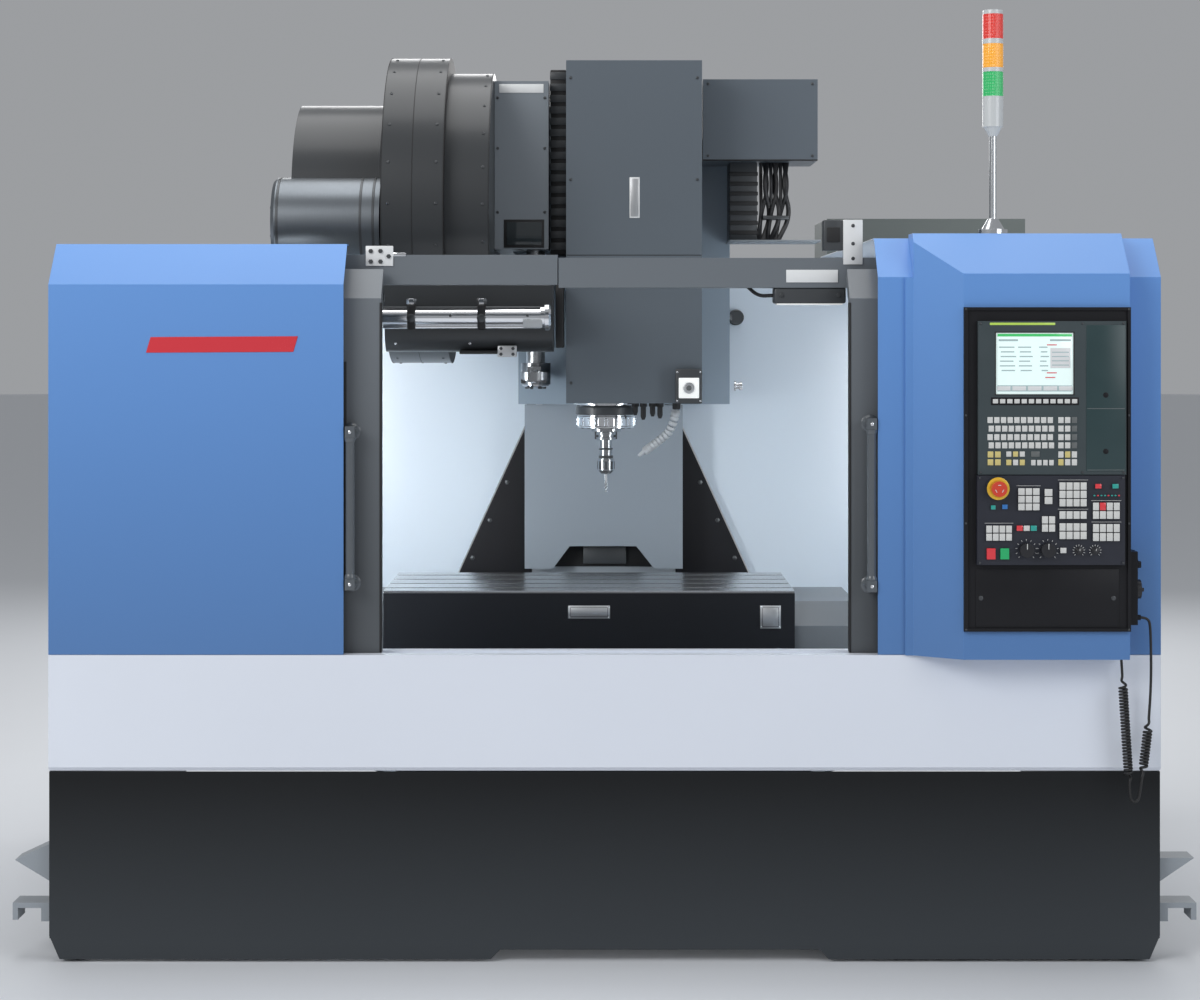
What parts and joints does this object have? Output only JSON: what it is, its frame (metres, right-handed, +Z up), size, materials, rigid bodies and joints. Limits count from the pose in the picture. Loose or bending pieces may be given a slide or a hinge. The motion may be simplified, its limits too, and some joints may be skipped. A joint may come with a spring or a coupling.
{
  "type": "cnc machining center",
  "caption": "Vertical machining centre with sliding doors, moving table and head, side tool magazine, console and signal tower.",
  "frame": {"origin": "middle of the machine's footprint, on the floor", "axes": "+Z up, +X along the table to the operator's right, +Y from the operator to the column"},
  "size_m": [3.12, 2.36, 2.5025],
  "materials": {
    "cast_iron": "machined",
    "casting_paint": "satin",
    "ground_steel": "ground",
    "cover_blue": "satin",
    "apron_white": "satin",
    "skirt_charcoal": "satin",
    "panel_grey": "satin",
    "stile_grey": "satin",
    "splash_white": "satin",
    "leg_black": "satin",
    "head_grey": "satin",
    "head_casting_paint": "satin",
    "shield_grey": "satin",
    "magazine_dark": "satin",
    "motor_grey": "satin",
    "console_black": "matte",
    "display_grey": "matte",
    "operator_film": "matte",
    "stop_red": "gloss",
    "start_green": "gloss",
    "key_red": "gloss",
    "knob_black": "matte",
    "cord_black": "matte",
    "beacon_shell": "gloss",
    "lens_green": "gloss",
    "lens_amber": "gloss",
    "lens_red": "gloss",
    "pole_steel": "polished",
    "table_steel": "ground",
    "apron_black": "satin",
    "nose_steel": "polished",
    "tool_steel": "ground",
    "handle_black": "satin",
    "cabinet_olive": "satin"
  },
  "bodies": {
    "frame": {"base_casting": "cast_iron", "leveling_pads": "cast_iron", "column": "casting_paint", "guide_rails": "ground_steel", "leg_covers": "leg_black", "servo_motors": "knob_black", "front_skirt": "skirt_charcoal", "side_skirts": "skirt_charcoal", "side_brackets": "casting_paint", "apron_band": "apron_white", "left_cover": "cover_blue", "right_cover": "cover_blue", "left_side_panel": "apron_white", "right_side_panel": "apron_white", "splash_walls": "splash_white", "door_lintels": "panel_grey", "electrical_cabinet": "cabinet_olive", "console_pod": "cover_blue", "console_bezel": "console_black", "display_unit": "display_grey", "operator_panel": "operator_film", "pendant": "console_black", "pendant_cord": "cord_black", "beacon_stand": "pole_steel", "beacon_housing": "beacon_shell", "beacon_green": "lens_green", "beacon_amber": "lens_amber", "beacon_red": "lens_red", "magazine_cover": "magazine_dark", "magazine_motor": "motor_grey", "magazine_bracket": "panel_grey"},
    "saddle": {"saddle": "cast_iron", "table_rails": "ground_steel"},
    "table": {"table": "table_steel", "table_apron": "apron_black", "table_end_covers": "panel_grey"},
    "head": {"head_casting": "head_casting_paint", "head_cover": "head_grey", "head_side_box": "head_grey", "column_shield": "shield_grey", "spindle_housing": "nose_steel"},
    "spindle": {"spindle_shaft": "tool_steel", "tool_holder": "tool_steel"},
    "y_screw": {"y_ballscrew": "ground_steel"},
    "x_screw": {"x_ballscrew": "ground_steel"},
    "z_screw": {"z_ballscrew": "ground_steel"},
    "left_door": {"door_left": "stile_grey", "handle_left": "handle_black"},
    "right_door": {"door_right": "stile_grey", "handle_right": "handle_black"},
    "cabinet_door": {"cabinet_door": "cabinet_olive"},
    "emergency_stop": {"emergency_stop": "stop_red"},
    "cycle_stop": {"cycle_stop_key": "key_red"},
    "cycle_start": {"cycle_start_key": "start_green"},
    "feed_knob": {"feed_override_knob": "knob_black"},
    "speed_knob": {"spindle_override_knob": "knob_black"},
    "handwheel": {"handwheel": "knob_black"},
    "drum": {"magazine_drum": "cast_iron"},
    "arm_shaft": {"arm_shaft": "ground_steel"},
    "change_arm": {"change_arm": "tool_steel"}
  },
  "joints": [
    {"name": "y_axis", "type": "slide", "parent": "frame", "child": "saddle", "axis": [0, 1, 0], "range_m": [-0.2175, 0.2175]},
    {"name": "x_axis", "type": "slide", "parent": "saddle", "child": "table", "axis": [1, 0, 0], "range_m": [-0.331, 0.431]},
    {"name": "z_axis", "type": "slide", "parent": "frame", "child": "head", "axis": [0, 0, 1], "range_m": [-0.255, 0.205]},
    {"name": "spindle_turn", "type": "hinge", "parent": "head", "child": "spindle", "pos_m": [0.006, -0.032, 1.353], "axis": [0, 0, 1], "continuous": true},
    {"name": "y_screw_turn", "type": "hinge", "parent": "frame", "child": "y_screw", "pos_m": [0, -0.59, 0.572], "axis": [0, 1, 0], "continuous": true},
    {"name": "x_screw_turn", "type": "hinge", "parent": "saddle", "child": "x_screw", "pos_m": [0, -0.032, 0.745], "axis": [1, 0, 0], "continuous": true},
    {"name": "z_screw_turn", "type": "hinge", "parent": "frame", "child": "z_screw", "pos_m": [0, 0.61, 1.09], "axis": [0, 0, 1], "continuous": true},
    {"name": "left_door_slide", "type": "slide", "parent": "frame", "child": "left_door", "axis": [1, 0, 0], "range_m": [0, 0.617]},
    {"name": "right_door_slide", "type": "slide", "parent": "frame", "child": "right_door", "axis": [-1, 0, 0], "range_m": [0, 0.617]},
    {"name": "cabinet_door_hinge", "type": "hinge", "parent": "frame", "child": "cabinet_door", "pos_m": [1.4, 1.133, 1.165], "axis": [0, 0, 1], "range_deg": [-110, 0]},
    {"name": "emergency_stop_push", "type": "slide", "parent": "frame", "child": "emergency_stop", "axis": [0, 1, 0], "range_m": [0, 0.005]},
    {"name": "cycle_stop_press", "type": "slide", "parent": "frame", "child": "cycle_stop", "axis": [0, 1, 0], "range_m": [0, 0.003], "stiffness_N_per_m": 400},
    {"name": "cycle_start_press", "type": "slide", "parent": "frame", "child": "cycle_start", "axis": [0, 1, 0], "range_m": [0, 0.003], "stiffness_N_per_m": 400},
    {"name": "feed_override_turn", "type": "hinge", "parent": "frame", "child": "feed_knob", "pos_m": [1.083, -1.146, 1.093], "axis": [0, 1, 0], "range_deg": [-135, 135]},
    {"name": "spindle_override_turn", "type": "hinge", "parent": "frame", "child": "speed_knob", "pos_m": [1.138, -1.146, 1.093], "axis": [0, 1, 0], "range_deg": [-90, 90]},
    {"name": "handwheel_turn", "type": "hinge", "parent": "frame", "child": "handwheel", "pos_m": [1.38, -1.077, 0.985], "axis": [1, 0, 0], "continuous": true},
    {"name": "magazine_index", "type": "hinge", "parent": "frame", "child": "drum", "pos_m": [-0.545, -0.1, 2.016], "axis": [1, 0, 0], "continuous": true},
    {"name": "arm_stroke", "type": "slide", "parent": "frame", "child": "arm_shaft", "axis": [0, 0, -1], "range_m": [0, 0.115]},
    {"name": "arm_swing", "type": "hinge", "parent": "arm_shaft", "child": "change_arm", "pos_m": [-0.207, -0.032, 1.52], "axis": [0, 0, 1], "range_deg": [-10, 10]}
  ],
  "couplings": [
    {"joint": "x_screw_turn", "follows": "x_axis", "rad_per_m": 392.7},
    {"joint": "y_screw_turn", "follows": "y_axis", "rad_per_m": 392.7},
    {"joint": "z_screw_turn", "follows": "z_axis", "rad_per_m": 392.7}
  ]
}
